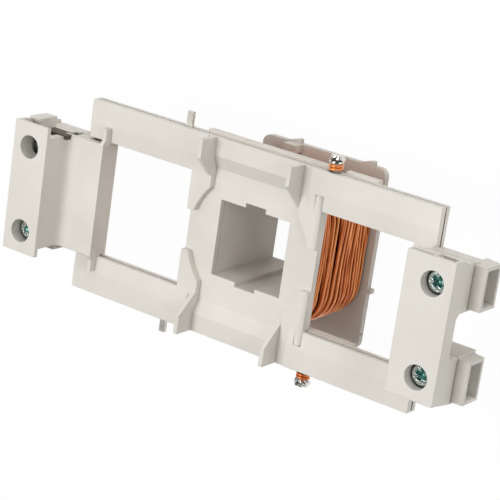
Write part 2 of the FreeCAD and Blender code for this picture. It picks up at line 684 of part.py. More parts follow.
def winding():
    """Stack of turns: each is a rounded-rectangle ring with a ridge, and the stack bulges in its middle."""
    gap = size("winding_gap")
    low = size("rear_flange") + gap
    high = (size("plate_top") - size("skin") - size("channel") - size("rear_skin")
            - size("front_flange") - gap)
    turns = int(size("winding_turns"))
    wires = []
    for step in range(2 * turns + 1):
        share = step / (2 * turns)
        crown = size("winding_bulge") * (1 - (2 * share - 1) ** 2)
        grow = crown + (size("ridge") if step % 2 else 0)
        wires.append(rounded_rectangle(size("winding_half_x") + grow, size("winding_half_y") + grow,
                                       size("winding_round") + grow, low + share * (high - low)))
    stack = Part.makeLoft(wires, True, True)
    hole_x = size("bore_width") / 2 + size("tube_wall") + gap
    hole_y = size("bore_height") / 2 + size("tube_wall") + gap
    hole = Part.makeBox(2 * hole_x, 2 * hole_y, high, FreeCAD.Vector(-hole_x, -hole_y, 0))
    feature = doc.addObject("Part::Feature", "winding")
    feature.Label = "winding"
    feature.Shape = stack.cut(hole)
    return feature


# Clamp screws, clamp plates and nuts, made once for each terminal

def set_place(feature, x, y, z):
    for axis, place in zip("xyz", (x, y, z)):
        feature.setExpression(f"Placement.Base.{axis}", bound(place))


def cylinder(name, diameter, span, x, y):
    feature = doc.addObject("Part::Cylinder", name)
    feature.setExpression("Radius", bound(f"({diameter}) / 2"))
    feature.setExpression("Height", bound(f"({span[1]}) - ({span[0]})"))
    set_place(feature, x, y, span[0])
    return feature


def box(name, x_span, y_span, z_span):
    feature = doc.addObject("Part::Box", name)
    for side, (low, high) in zip(("Length", "Width", "Height"), (x_span, y_span, z_span)):
        feature.setExpression(side, bound(f"({high}) - ({low})"))
    set_place(feature, x_span[0], y_span[0], z_span[0])
    return feature


def combine(kind, name, shapes):
    feature = doc.addObject(kind, name)
    feature.Shapes = shapes
    return feature


def cut(name, base, tool):
    feature = doc.addObject("Part::Cut", name)
    feature.Base = base
    feature.Tool = tool
    feature.Label = name
    return feature


def square(middle, half):
    return f"{middle} - ({half})", f"{middle} + {half}"


def head_top(name):
    return f"{COLUMN} - {name}_depth"


def terminal_screw(name, row):
    """Cheese-head screw with a cross recess, its edge bevelled."""
    tag = f"{name}_{row}"
    x, y = screw_place(name, row)
    top = head_top(name)
    under = f"{top} - head_height"
    head = cylinder(f"head_{tag}", "head_diameter", (under, f"{top} - head_bevel"), x, y)
    bevel = doc.addObject("Part::Cone", f"head_bevel_{tag}")
    bevel.setExpression("Radius1", bound("head_diameter / 2"))
    bevel.setExpression("Radius2", bound("head_diameter / 2 - head_bevel"))
    bevel.setExpression("Height", bound("head_bevel"))
    set_place(bevel, x, y, f"{top} - head_bevel")
    shank = cylinder(f"shank_{tag}", "shank_diameter", (f"{under} - shank_length", under), x, y)
    solid = combine("Part::MultiFuse", f"blank_{tag}", [head, bevel, shank])
    arm_z = (f"{top} - recess_depth", f"{top} + wall")
    arms = [box(f"arm_a_{tag}", square(x, "recess_span / 2"), square(y, "recess_width / 2"), arm_z),
            box(f"arm_b_{tag}", square(x, "recess_width / 2"), square(y, "recess_span / 2"), arm_z)]
    cross = combine("Part::MultiFuse", f"cross_{tag}", arms)
    return cut(f"terminal_screw_{tag}", solid, cross)


def clamp_plate(name, row):
    tag = f"{name}_{row}"
    x, y = screw_place(name, row)
    top = f"{head_top(name)} - head_height"
    span = (f"{top} - clamp_thick", top)
    plate = box(f"clamp_blank_{tag}", square(x, "clamp_side / 2"), square(y, "clamp_side / 2"), span)
    hole = cylinder(f"clamp_hole_{tag}", "shank_diameter + 2 * thread_fit", span, x, y)
    return cut(f"clamp_plate_{tag}", plate, hole)


def terminal_nut(name, row):
    tag = f"{name}_{row}"
    x, y = screw_place(name, row)
    span = (NUT_FLOOR, REAR_FACE)
    block = box(f"nut_blank_{tag}", square(x, "nut_side / 2"), square(y, "nut_side / 2"), span)
    hole = cylinder(f"nut_hole_{tag}", "shank_diameter + 2 * thread_fit", span, x, y)
    return cut(f"terminal_nut_{tag}", block, hole)


# Winding leads, wrapped round the right-hand tabs and soldered

def post_axis():
    """X and Z of the middle of the folded tab that a lead is wrapped round."""
    rear_face = size("plate_top") - size("skin") - size("channel")
    return size("post_place"), rear_face + (size("strip_thick") - size("tab_fold")) / 2


def wrap_radius():
    """Inner radius of the wraps: half of the tab's diagonal and a little clearance."""
    tab = math.hypot(size("tab_width"), size("strip_thick") + size("tab_fold"))
    return tab / 2 + size("thread_fit")


def turned(profile, x, z):
    """Solid of revolution about the tab's axis, from pairs of radius and place along Y."""
    points = [FreeCAD.Vector(x + radius, y, z) for radius, y in profile]
    face = Part.Face(Part.makePolygon(points + points[:1]))
    return face.revolve(FreeCAD.Vector(x, 0, z), FreeCAD.Vector(0, 1, 0), 360)


def lead_wire(row):
    """Wraps round the tab just outside the plate and the run of wire down to the winding."""
    level = LEVELS[row]
    x, z = post_axis()
    start = level * (size("plate_half") + size("fit"))
    inner, wire = wrap_radius(), size("wire")
    turns = int(size("wrap_turns"))
    profile = [(inner, start)]
    for step in range(2 * turns + 1):
        out = inner + (wire if step % 2 else wire * 0.6)
        profile.append((out, start + level * wire * step / 2))
    profile.append((inner, start + level * wire * turns))
    flange_back = (size("plate_top") - size("skin") - size("channel") - size("rear_skin")
                   - size("front_flange"))
    radius = wire / 2
    outside = FreeCAD.Vector(x - inner - radius, start + level * radius * 1.2, z)
    behind = FreeCAD.Vector(outside.x, outside.y, flange_back - wire)
    landed = FreeCAD.Vector(size("winding_half_x") - size("winding_round"),
                            level * (size("winding_half_y") + size("ridge") + size("winding_gap") + radius),
                            behind.z - wire)
    feature = doc.addObject("Part::Feature", f"lead_wire_{row}")
    feature.Label = f"lead_wire_{row}"
    feature.Shape = turned(profile, x, z).fuse(bent_wire([outside, behind, landed], radius))
    return feature


def bent_wire(points, radius):
    """Round wire through the points, mitred at its bends."""
    ring = Part.Wire(Part.makeCircle(radius, points[0], points[1] - points[0]))
    return Part.makePolygon(points).makePipeShell([ring], True, False, 1)


def solder_joint(row):
    """Turned lump of solder round the tab's end, resting on the last wrap."""
    level = LEVELS[row]
    x, z = post_axis()
    base = size("plate_half") + size("fit") + size("wire") * size("wrap_turns") + size("thread_fit")
    half, height = size("solder_width") / 2, size("solder_height")
    shares = ((0.0, 0.0), (0.85, 0.0), (1.0, 0.4), (0.75, 0.85), (0.3, 1.0), (0.0, 1.0))
    profile = [(half * out, level * (base + height * along)) for out, along in shares]
    lump = turned(profile, x, z)
    tab_low = size("plate_top") - size("skin") - size("channel") - size("tab_fold")
    reach = size("plate_half") + size("tab_reach")
    corner = FreeCAD.Vector(x - size("tab_width") / 2, min(0, level * reach), tab_low)
    tab = Part.makeBox(size("tab_width"), reach, size("strip_thick") + size("tab_fold"), corner)
    feature = doc.addObject("Part::Feature", f"solder_joint_{row}")
    feature.Label = f"solder_joint_{row}"
    feature.Shape = lump.cut(tab)
    return feature


PARTS = [front_frame(), rear_frame(), bobbin(), winding()]
PARTS += [contact_strip(row) for row in LEVELS]
for side_name in SIDES:
    for row_name in LEVELS:
        PARTS.append(terminal_screw(side_name, row_name))
        PARTS.append(clamp_plate(side_name, row_name))
        PARTS.append(terminal_nut(side_name, row_name))
PARTS += [lead_wire(row) for row in LEVELS]
PARTS += [solder_joint(row) for row in LEVELS]

doc.recompute()
for item in doc.Objects:
    if "Invalid" in item.State or "Error" in item.State:
        raise RuntimeError(f"{item.Label} was not built: {item.State}")
for piece in PARTS:
    if piece.Shape.isNull() or not piece.Shape.isValid():
        raise RuntimeError(f"{piece.Label} has no valid shape")

os.makedirs("parts", exist_ok=True)
for piece in PARTS:
    piece.Shape.exportStep(f"parts/{piece.Label}.step")
    print(piece.Label, len(piece.Shape.Solids), round(piece.Shape.Volume, 1))
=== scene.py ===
import math

import bpy
import numpy as np
from mathutils import Matrix, Vector


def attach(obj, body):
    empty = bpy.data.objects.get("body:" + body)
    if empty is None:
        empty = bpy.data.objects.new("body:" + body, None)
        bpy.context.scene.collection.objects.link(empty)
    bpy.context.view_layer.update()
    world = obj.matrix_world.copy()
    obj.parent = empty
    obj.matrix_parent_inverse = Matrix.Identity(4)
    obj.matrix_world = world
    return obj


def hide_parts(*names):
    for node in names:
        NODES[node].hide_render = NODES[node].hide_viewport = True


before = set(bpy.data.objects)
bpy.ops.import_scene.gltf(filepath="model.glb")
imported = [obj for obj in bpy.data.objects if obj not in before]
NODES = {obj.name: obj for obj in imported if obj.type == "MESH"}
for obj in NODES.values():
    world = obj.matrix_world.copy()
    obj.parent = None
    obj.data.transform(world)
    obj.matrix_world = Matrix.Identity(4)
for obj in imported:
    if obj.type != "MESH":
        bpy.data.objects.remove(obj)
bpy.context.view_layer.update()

# Plug-in magnet coil of a contactor, in metres, with Z along the core slot.
MM = 0.001
SIDES = ("left", "right")
LEVELS = {"upper": 1, "lower": -1}


# Colour and material helpers

def linear(code):
    """Linear RGBA of an sRGB hex colour: each channel is ((c + 0.055) / 1.055) to the power 2.4, or c / 12.92
    when dark."""
    channels = [int(code[i:i + 2], 16) / 255 for i in (1, 3, 5)]
    return [c / 12.92 if c <= 0.04045 else ((c + 0.055) / 1.055) ** 2.4 for c in channels] + [1.0]


def add_node(tree, kind, links=(), **settings):
    """One node with its settings and its incoming links, each an (input, output socket or value) pair."""
    made = tree.nodes.new(kind)
    for name, value in settings.items():
        setattr(made, name, value)
    for socket, source in links:
        if isinstance(source, bpy.types.NodeSocket):
            tree.links.new(source, made.inputs[socket])
        else:
            made.inputs[socket].default_value = source
    return made


def new_material(name, **sockets):
    """Empty Principled material. The values go straight onto the shader's own sockets."""
    material = bpy.data.materials.new(name)
    material.use_nodes = True
    tree = material.node_tree
    tree.nodes.clear()
    shader = add_node(tree, "ShaderNodeBsdfPrincipled")
    for socket, value in sockets.items():
        shader.inputs[socket.replace("_", " ")].default_value = value
    add_node(tree, "ShaderNodeOutputMaterial", [("Surface", shader.outputs[0])])
    return material, tree, shader


def noise(tree, place, scale_mm, detail=3.0, stretch=(1, 1, 1)):
    """Noise whose grain is scale_mm across, on the piece's own coordinates, finer along a stretched axis."""
    mapping = add_node(tree, "ShaderNodeMapping", [("Vector", place), ("Scale", stretch)])
    return add_node(tree, "ShaderNodeTexNoise", [
        ("Vector", mapping.outputs[0]), ("Scale", 1 / (scale_mm * MM)), ("Detail", detail),
        ("Roughness", 0.55)]).outputs["Fac"]


def spread(tree, value, low, high, out_low, out_high):
    """Value mapped from one range to another and clamped."""
    return add_node(tree, "ShaderNodeMapRange", [
        ("Value", value), ("From Min", low), ("From Max", high), ("To Min", out_low),
        ("To Max", out_high)]).outputs[0]


def tinted(tree, share, first, second):
    """Colour between two hex colours."""
    ramp = add_node(tree, "ShaderNodeMix", data_type="RGBA")
    tree.links.new(share, ramp.inputs[0])
    ramp.inputs[6].default_value = linear(first)
    ramp.inputs[7].default_value = linear(second)
    return ramp.outputs[2]


def bump(tree, height, distance_mm, strength, normal=None):
    """Relief of the given height, on top of the given shading."""
    links = [("Height", height), ("Distance", distance_mm * MM), ("Strength", strength)]
    if normal is not None:
        links.append(("Normal", normal))
    return add_node(tree, "ShaderNodeBump", links).outputs[0]


def painted_shade_in_hollows(tree, colour, reach_mm, darkest, open_from):
    """Painted shade: colour that falls to its darkest share where faces within reach shut most of the light
    out.
    """
    hollow = add_node(tree, "ShaderNodeAmbientOcclusion", [("Distance", reach_mm * MM)], samples=8)
    share = spread(tree, hollow.outputs["AO"], 0.1, open_from, darkest, 1.0)
    product = add_node(tree, "ShaderNodeMix", data_type="RGBA", blend_type="MULTIPLY")
    product.inputs[0].default_value = 1.0
    tree.links.new(colour, product.inputs[6])
    tree.links.new(share, product.inputs[7])
    return product.outputs[2]


def rounded_edges(tree, radius_mm):
    """Shading of a small edge radius, as a mould leaves it."""
    return add_node(tree, "ShaderNodeBevel", [("Radius", radius_mm * MM)], samples=6).outputs[0]


# Materials

def glass_filled_polyamide(name, light, shade, shade_reach_mm):
    """Glass-fibre filled polyamide, injection moulded in a spark-eroded tool: matt, off-white, with faint
    flow clouds about 20 mm across, fine grain and a slightly glossy skin."""
    material, tree, shader = new_material(
        name, IOR=1.53, Subsurface_Weight=0.06, Subsurface_Scale=0.6 * MM)
    shader.inputs["Subsurface Radius"].default_value = (1.0, 0.8, 0.6)
    place = add_node(tree, "ShaderNodeTexCoord").outputs["Object"]
    clouds = noise(tree, place, 22, detail=4.0)
    share = spread(tree, clouds, 0.35, 0.65, 0.0, 1.0)
    # Painted shade: the colour darkens in hollows, corners and slots that shut out the light, within the given
    # reach.
    colour = painted_shade_in_hollows(tree, tinted(tree, share, light, shade), shade_reach_mm, 0.25, 0.52)
    tree.links.new(colour, shader.inputs["Base Color"])
    fibres = noise(tree, place, 1.6, detail=2.0, stretch=(1, 2.2, 1))
    tree.links.new(spread(tree, fibres, 0.3, 0.7, 0.46, 0.58), shader.inputs["Roughness"])
    # The real grain is about 0.05 mm: it is drawn at 0.35 mm, so that it shows.
    grain = noise(tree, place, 0.35, detail=2.0)
    soft = bump(tree, grain, 0.03, 0.35, rounded_edges(tree, 0.25))
    waves = bump(tree, clouds, 0.25, 0.12, soft)
    tree.links.new(waves, shader.inputs["Normal"])
    return material


def enamelled_copper(name):
    """Magnet wire: drawn copper under a clear orange enamel, glossy, with darker turns here and there."""
    material, tree, shader = new_material(
        name, Metallic=0.6, Roughness=0.32, Coat_Weight=0.5, Coat_Roughness=0.12, Coat_IOR=1.55)
    place = add_node(tree, "ShaderNodeTexCoord").outputs["Object"]
    patches = noise(tree, place, 3.5, detail=2.0, stretch=(1, 0.35, 1.6))
    share = spread(tree, patches, 0.32, 0.68, 0.0, 1.0)
    enamel = tinted(tree, share, "#FFA45C", "#DE7434")
    # Painted shade: the enamel darkens in the narrow gaps between turns, where shade falls.
    colour = painted_shade_in_hollows(tree, enamel, 1.6, 0.12, 0.5)
    tree.links.new(colour, shader.inputs["Base Color"])
    # Drawing marks along the wire are too fine to show: they are drawn 0.25 mm wide.
    marks = noise(tree, place, 0.25, detail=1.0, stretch=(1, 0.08, 1))
    tree.links.new(bump(tree, marks, 0.02, 0.3), shader.inputs["Normal"])
    return material


def shadowed_copper(name):
    """Inner layers of the same wire, seen only through gaps, varnished: their dark colour is painted shade for
    the shade that the outer turns cast.
    """
    material, tree, shader = new_material(name, Metallic=0.85, Roughness=0.5)
    place = add_node(tree, "ShaderNodeTexCoord").outputs["Object"]
    bands = noise(tree, place, 0.8, detail=1.0, stretch=(0.05, 0.05, 1))
    tree.links.new(tinted(tree, bands, "#74301A", "#401808"), shader.inputs["Base Color"])
    return material


def tinned_brass(name):
    """Stamped brass strip, tinned: bright, slightly yellow-grey, with fine lines along the rolling direction
    and painted shade where it lies in the narrow channel."""
    material, tree, shader = new_material(name, Metallic=0.7)
    place = add_node(tree, "ShaderNodeTexCoord").outputs["Object"]
    lines = noise(tree, place, 0.4, detail=2.0, stretch=(0.06, 1, 1))
    tin = tinted(tree, lines, "#EAE7DF", "#CBC6BA")
    colour = painted_shade_in_hollows(tree, tin, 1.2, 0.1, 0.6)
    tree.links.new(colour, shader.inputs["Base Color"])
    tree.links.new(spread(tree, lines, 0.3, 0.7, 0.28, 0.42), shader.inputs["Roughness"])
    tree.links.new(bump(tree, lines, 0.02, 0.25, rounded_edges(tree, 0.08)), shader.inputs["Normal"])
    return material


def brass_in_painted_shade(name):
    """Brass of the clamp leaf that lies open in the left block, dull: its dark brown is painted shade for the
    shade inside the block.
    """
    material, tree, shader = new_material(name, Metallic=0.3, Roughness=0.6)
    place = add_node(tree, "ShaderNodeTexCoord").outputs["Object"]
    stains = noise(tree, place, 1.2, detail=2.0)
    tree.links.new(tinted(tree, stains, "#6A6250", "#453D2E"), shader.inputs["Base Color"])
    return material


def soft_solder(name):
    """Tin solder that froze in place: mirror-bright with a few dull grey patches."""
    material, tree, shader = new_material(name, Metallic=1.0)
    place = add_node(tree, "ShaderNodeTexCoord").outputs["Object"]
    patches = noise(tree, place, 0.9, detail=3.0)
    tree.links.new(tinted(tree, patches, "#F2F0EA", "#B7B3AA"), shader.inputs["Base Color"])
    tree.links.new(spread(tree, patches, 0.45, 0.7, 0.08, 0.32), shader.inputs["Roughness"])
    tree.links.new(bump(tree, patches, 0.12, 0.4), shader.inputs["Normal"])
    return material


def zinc_plated_steel(name, shade_reach_mm):
    """Steel with bright zinc and a blue-green passivation that gathers in hollows, as the piece's own
    attribute 'hollow' says."""
    material, tree, shader = new_material(name, Metallic=1.0)
    place = add_node(tree, "ShaderNodeTexCoord").outputs["Object"]
    stains = noise(tree, place, 0.7, detail=3.0)
    bright = tinted(tree, spread(tree, stains, 0.35, 0.65, 0, 1), "#E4EAE8", "#B9C4C2")
    hollow = add_node(tree, "ShaderNodeAttribute", attribute_name="hollow")
    teal = add_node(tree, "ShaderNodeMix", data_type="RGBA")
    tree.links.new(hollow.outputs["Fac"], teal.inputs[0])
    tree.links.new(bright, teal.inputs[6])
    tree.links.new(tinted(tree, stains, "#4C9488", "#8CC6BD"), teal.inputs[7])
    # Painted shade: the colour darkens deep in hollows and wells, within the given reach.
    tree.links.new(painted_shade_in_hollows(tree, teal.outputs[2], shade_reach_mm, 0.1, 0.7), shader.inputs["Base Color"])
    tree.links.new(spread(tree, stains, 0.3, 0.7, 0.16, 0.34), shader.inputs["Roughness"])
    scratches = noise(tree, place, 0.18, detail=2.0)
    normal = bump(tree, scratches, 0.015, 0.3, rounded_edges(tree, 0.1))
    tree.links.new(normal, shader.inputs["Normal"])
    return material


MOULDING = glass_filled_polyamide("front_polyamide", "#E0DCD4", "#D9D4CB", 3.0)
# The rear moulding's painted shade reaches 10 mm into its hollows, the front's and the bobbin's 3 mm.
REAR_MOULDING = glass_filled_polyamide("rear_polyamide", "#DEDAD1", "#D6D1C7", 10.0)
BOBBIN = glass_filled_polyamide("bobbin_polyamide", "#DFD9D1", "#D4CDC4", 3.0)
COPPER = enamelled_copper("enamelled_copper_wire")
INNER_COPPER = shadowed_copper("inner_copper_layers")
STRIP = tinned_brass("tinned_brass_strip")
SOLDER = soft_solder("tin_solder")
# Clamp plates and nuts lie deep in their wells, so the shade there reaches further than on the heads.
ZINC = zinc_plated_steel("zinc_plated_steel", 5.0)
SCREW_ZINC = zinc_plated_steel("zinc_plated_screw", 0.9)
DARK_BRASS = brass_in_painted_shade("brass_in_painted_shade")


# Mesh helpers

def surface(name, grid, material, close_across=False, close_along=False, hollow=None, smooth=True):
    """Mesh of a grid of points (rows along, columns across, 3), joined to itself where it is closed."""
    rows, columns = grid.shape[:2]
    row = np.arange(rows if close_along else rows - 1)[:, None]
    column = np.arange(columns if close_across else columns - 1)[None, :]
    a = row * columns + column
    b = row * columns + (column + 1) % columns
    c = (row + 1) % rows * columns + (column + 1) % columns
    d = (row + 1) % rows * columns + column
    faces = np.stack([a, b, c, d], axis=-1).reshape(-1, 4)
    return mesh_piece(name, grid.reshape(-1, 3), faces, material, hollow, smooth)


def mesh_piece(name, points, faces, material, hollow=None, smooth=True):
    """Object at the origin from points in millimetres and faces of four corners."""
    mesh = bpy.data.meshes.new(name)
    count = len(faces)
    mesh.vertices.add(len(points))
    mesh.vertices.foreach_set("co", (np.asarray(points, float) * MM).ravel())
    mesh.loops.add(4 * count)
    mesh.loops.foreach_set("vertex_index", np.asarray(faces, np.int32).ravel())
    mesh.polygons.add(count)
    mesh.polygons.foreach_set("loop_start", np.arange(0, 4 * count, 4, dtype=np.int32))
    mesh.polygons.foreach_set("use_smooth", np.full(count, smooth))
    mesh.update(calc_edges=True)
    mesh.validate()
    if hollow is not None:
        mesh.attributes.new("hollow", "FLOAT", "POINT").data.foreach_set("value", hollow.ravel())
    mesh.materials.append(material)
    piece = bpy.data.objects.new(name, mesh)
    bpy.context.scene.collection.objects.link(piece)
    return piece


def tube(name, path, side, radius, material, corners):
    """Round wire along a path: each ring is path + radius (side cos a + other sin a), with the other
    direction square to the path and to side, and the ends drawn in to a point."""
    along = np.gradient(path, axis=0)
    along /= np.linalg.norm(along, axis=1, keepdims=True)
    side = side - along * np.sum(side * along, axis=1, keepdims=True)
    side /= np.linalg.norm(side, axis=1, keepdims=True)
    other = np.cross(along, side)
    angle = np.linspace(0, 2 * math.pi, corners, endpoint=False)
    path, side, other = (np.concatenate([line[:1], line, line[-1:]]) for line in (path, side, other))
    reach = np.full((len(path), 1, 1), radius)
    reach[[0, -1]] = 0.001
    ring = side[:, None] * np.cos(angle)[None, :, None] + other[:, None] * np.sin(angle)[None, :, None]
    return surface(name, path[:, None] + reach * ring, material, close_across=True)


def drift(rng, turn, waves):
    """Sum of sines along a wire, each given by its cycles in a turn and its height, with a random phase. Near
    a whole number of cycles neighbouring turns lean alike, halfway between two they cross."""
    return sum(height * np.sin(2 * math.pi * (cycles * turn + rng.uniform())) for cycles, height in waves)


def block(name, low, high, material):
    """Plain block between two corners."""
    (x0, y0, z0), (x1, y1, z1) = low, high
    ring = np.array([(x0, y0), (x1, y0), (x1, y1), (x0, y1)])
    points = np.concatenate([np.column_stack([ring, np.full(4, z)]) for z in (z0, z1)])
    faces = [[3, 2, 1, 0], [4, 5, 6, 7], [0, 1, 5, 4], [1, 2, 6, 5], [2, 3, 7, 6], [3, 0, 4, 7]]
    return mesh_piece(name, points, faces, material, smooth=False)


def keep(piece, slot, *nodes):
    """The piece rides on the part and stands for the named nodes, which it hides. The slot is not used."""
    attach(piece, "root")
    if nodes:
        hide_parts(*nodes)


# Winding: millimetres, as in the solids

WIRE = 0.8
WINDING_LOW, WINDING_HIGH = 1.95, 26.75
WINDING_HALF = (18.3, 19.0)
WINDING_ROUND = 9.2
WINDING_BULGE = 0.45
OUTER_INSET, SECOND_INSET, CORE_INSET, CORE_HOLLOW = 0.2, 0.85, 1.9, 4.6
HEIGHT_DRIFT = ((2.07, 0.42), (3.06, 0.3), (1.48, 0.28), (4.45, 0.12))
RADIAL_DRIFT = ((1.3, 0.1), (2.6, 0.12), (5.4, 0.05))


def loop_point(turn, inset):
    """Point and outward direction on a rounded rectangle, at a share of its length counted from the middle
    of the +X side: four straight runs and four quarter circles, laid end to end."""
    half_x, half_y = WINDING_HALF[0] - inset, WINDING_HALF[1] - inset
    round_ = np.maximum(WINDING_ROUND - inset, 1.5)
    run_x, run_y = half_x - round_, half_y - round_
    arc = round_ * math.pi / 2
    lengths = np.stack([run_y, arc, 2 * run_x, arc, 2 * run_y, arc, 2 * run_x, arc, run_y])
    ends = np.cumsum(lengths, axis=0)
    distance = (turn % 1.0) * ends[-1]
    which = np.sum(distance >= ends, axis=0).clip(0, 8)
    start = np.where(which > 0, np.take_along_axis(ends, np.maximum(which - 1, 0)[None], 0)[0], 0.0)
    local = distance - start
    quarter = (which + 1) // 2
    is_arc = which % 2 == 1
    angle = np.where(is_arc, (which - 1) // 2 * math.pi / 2 + local / round_, quarter * math.pi / 2)
    out = np.stack([np.cos(angle), np.sin(angle)], axis=-1)
    centre_x = np.select([which <= 1, which <= 5, which <= 8], [run_x, -run_x, run_x])
    centre_x = np.where(which == 2, run_x - local, centre_x)
    centre_x = np.where(which == 6, -run_x + local, centre_x)
    centre_y = np.select([which <= 3, which <= 7, which <= 8], [run_y, -run_y, -run_y])
    centre_y = np.where(which == 0, local, centre_y)
    centre_y = np.where(which == 4, run_y - local, centre_y)
    centre_y = np.where(which == 8, -run_y + local, centre_y)
    return np.stack([centre_x, centre_y], axis=-1) + out * round_[..., None], out


def wound_layer(name, heights, inset, seed, steps=96):
    """One layer of magnet wire: a single path whose height runs from turn to turn through the given
    heights, held level along most of each turn and stepping over to the next turn on the far side."""
    rng = np.random.default_rng(seed)
    count = len(heights) - 1
    turn = np.linspace(0, count, count * steps + 1)
    whole = np.minimum(turn.astype(int), count - 1)
    share = turn - whole
    # The step over to the next turn takes the middle of the round, on the left side of the bobbin.
    step = np.clip((share - 0.3) / 0.4, 0, 1)
    step = step * step * (3 - 2 * step)
    heights = np.asarray(heights)
    z = heights[whole] * (1 - step) + heights[whole + 1] * step
    z = z + drift(rng, turn, HEIGHT_DRIFT)
    crown = WINDING_BULGE * (1 - ((z - WINDING_LOW) / (WINDING_HIGH - WINDING_LOW) * 2 - 1) ** 2)
    radial = inset - crown + drift(rng, turn, RADIAL_DRIFT)
    flat, out = loop_point(turn, radial + WIRE / 2)
    z = np.clip(z, WINDING_LOW + WIRE / 2, WINDING_HIGH - WIRE / 2)
    path = np.concatenate([flat, z[:, None]], axis=1)
    side = np.concatenate([out, np.zeros((len(turn), 1))], axis=1)
    keep(tube(name, path, side, WIRE / 2, COPPER, corners=10), "copper_wire", "winding")


# Turns of the outer layer that show at the right window, with the gaps between its bundles
OUTER_TURNS = (2.5, 3.7, 5.1, 6.3, 7.3, 8.6, 11.1, 12.25, 13.35, 14.5, 15.7, 16.9, 19.9, 21.2,
               23.6, 24.95, 26.1)
SECOND_TURNS = np.arange(2.6, 26.4, 1.25)
wound_layer("winding_outer_turns", OUTER_TURNS, OUTER_INSET, seed=5)
wound_layer("winding_second_layer", SECOND_TURNS, SECOND_INSET, seed=9)


def winding_core():
    """Inner layers as one body: the rounded rectangle swept along Z with a ripple of one wire's pitch."""
    heights = np.linspace(WINDING_LOW, WINDING_HIGH, 120)
    turn = np.linspace(0, 1, 161)[:-1]
    crown = WINDING_BULGE * (1 - np.linspace(-1, 1, 120) ** 2)
    inset = CORE_INSET - crown + 0.25 * np.cos(2 * math.pi * heights / 1.1)
    insets, turns = np.meshgrid(inset, turn, indexing="ij")
    flat, out = loop_point(turns, insets)
    levels = np.broadcast_to(heights[:, None, None], flat.shape[:2] + (1,))
    outer = np.concatenate([flat, levels], axis=2)
    inner_flat, out = loop_point(turns[:1], np.full((1, len(turn)), CORE_HOLLOW))
    low = np.concatenate([inner_flat, np.full((1, len(turn), 1), WINDING_LOW)], axis=2)
    high = np.concatenate([inner_flat, np.full((1, len(turn), 1), WINDING_HIGH)], axis=2)
    grid = np.concatenate([low, outer, high])
    core = surface("winding_inner_layers", grid[:, ::-1], INNER_COPPER, close_across=True, close_along=True)
    keep(core, "copper_wire", "winding")


winding_core()


# Leads: wrapped round the folded tabs, then run back along the plate's edge and in to the winding

POST = (21.8, 30.4)
POST_RADIUS = 1.1
WRAP_TURNS = 1.8
WRAP_BASE = 26.95
SOLDER_BASE, SOLDER_HEIGHT, SOLDER_RADIUS = 28.5, 2.85, 2.05


def smooth_run(points, count=60):
    """Curve through the points: Catmull-Rom spans, each a cubic of its four nearest points."""
    points = np.asarray(points, float)
    padded = np.concatenate([2 * points[:1] - points[1:2], points, 2 * points[-1:] - points[-2:-1]])
    t = np.linspace(0, len(points) - 1, count)
    span = np.minimum(t.astype(int), len(points) - 2)
    u = (t - span)[:, None]
    p0, p1, p2, p3 = (padded[span + i] for i in range(4))
    return 0.5 * (2 * p1 + (p2 - p0) * u + (2 * p0 - 5 * p1 + 4 * p2 - p3) * u ** 2
                  + (3 * p1 - p0 - 3 * p2 + p3) * u ** 3)


def lead(level_name):
    """Lead wire: a helix of nearly two turns round the tab, and a slack run in to the coil."""
    level = LEVELS[level_name]
    radius = POST_RADIUS + WIRE / 2
    angle = np.linspace(0, 2 * WRAP_TURNS * math.pi, 110)[::-1]
    base = WRAP_BASE + WIRE / 2
    # The helix starts on the left of the tab, at the plate, and climbs towards the tip.
    helix = np.stack([POST[0] - radius * np.cos(angle), level * (base + WIRE * angle / (2 * math.pi)),
                      POST[1] + radius * np.sin(angle)], axis=1)
    run = smooth_run([
        helix[-1], (19.9, level * 27.0, 28.6), (19.4, level * 26.6, 27.2), (17.0, level * 24.2, 25.9),
        (13.6, level * 20.8, 25.5), (10.5, level * 18.9, 25.3)], 60)
    path = np.concatenate([helix, run[1:]])
    away = path - np.array([POST[0], 0, POST[1]]) * [1, 0, 1]
    away[:, 1] = 0
    side = np.where(np.arange(len(path))[:, None] < len(helix), away, [0.0, 0.0, 1.0])
    name = f"lead_wire_{level_name}"
    keep(tube("wrapped_" + name, path, side, WIRE / 2, COPPER, corners=12), "copper_wire", name)


def solder_lump(level_name):
    """Frozen solder: a turned profile whose radius is pushed in and out by a few broad waves."""
    level = LEVELS[level_name]
    rng = np.random.default_rng(21 if level > 0 else 34)
    along = np.linspace(0, 1, 61)[:, None]
    angle = np.linspace(0, 2 * math.pi, 97)[None, :-1]
    profile = np.interp(along, [0, 0.08, 0.3, 0.6, 0.85, 0.97, 1],
                        [0.35, 0.82, 0.98, 0.93, 0.72, 0.32, 0.0])
    waves = sum(np.sin(k * angle + w * math.pi * along + rng.uniform(0, 6.28)) * rng.uniform(0.03, 0.08)
                for k, w in ((2, 1.1), (3, 1.9), (1, 2.4), (5, 3.2)))
    radius = SOLDER_RADIUS * profile * (1 + waves)
    y = level * (SOLDER_BASE + SOLDER_HEIGHT * along + 0 * angle)
    grid = np.stack([POST[0] + radius * np.cos(angle), y, POST[1] + radius * np.sin(angle)], axis=2)
    grid = grid if level < 0 else grid[:, ::-1]
    name = f"solder_joint_{level_name}"
    keep(surface("frozen_" + name, grid, SOLDER, close_across=True), "solder", name)


for level_name in LEVELS:
    lead(level_name)
    solder_lump(level_name)


# Terminal screws

SCREW_HEAD = 2.9
SCREW_Y = {"upper": 11.6, "lower": -12.2}
SCREW_X = {"left": -66.7, "right": 61.3}
HEAD_TOP = {("left", "upper"): 38.6, ("left", "lower"): 40.9,
            ("right", "upper"): 41.5, ("right", "lower"): 41.5}
SCREW_TURN = {("left", "upper"): 0.5, ("left", "lower"): 1.1,
              ("right", "upper"): 0.62, ("right", "lower"): 0.35}
HEAD_HEIGHT, RIM_ROUND, SHANK_LENGTH, THREAD_PITCH = 2.2, 0.45, 9.3, 0.6


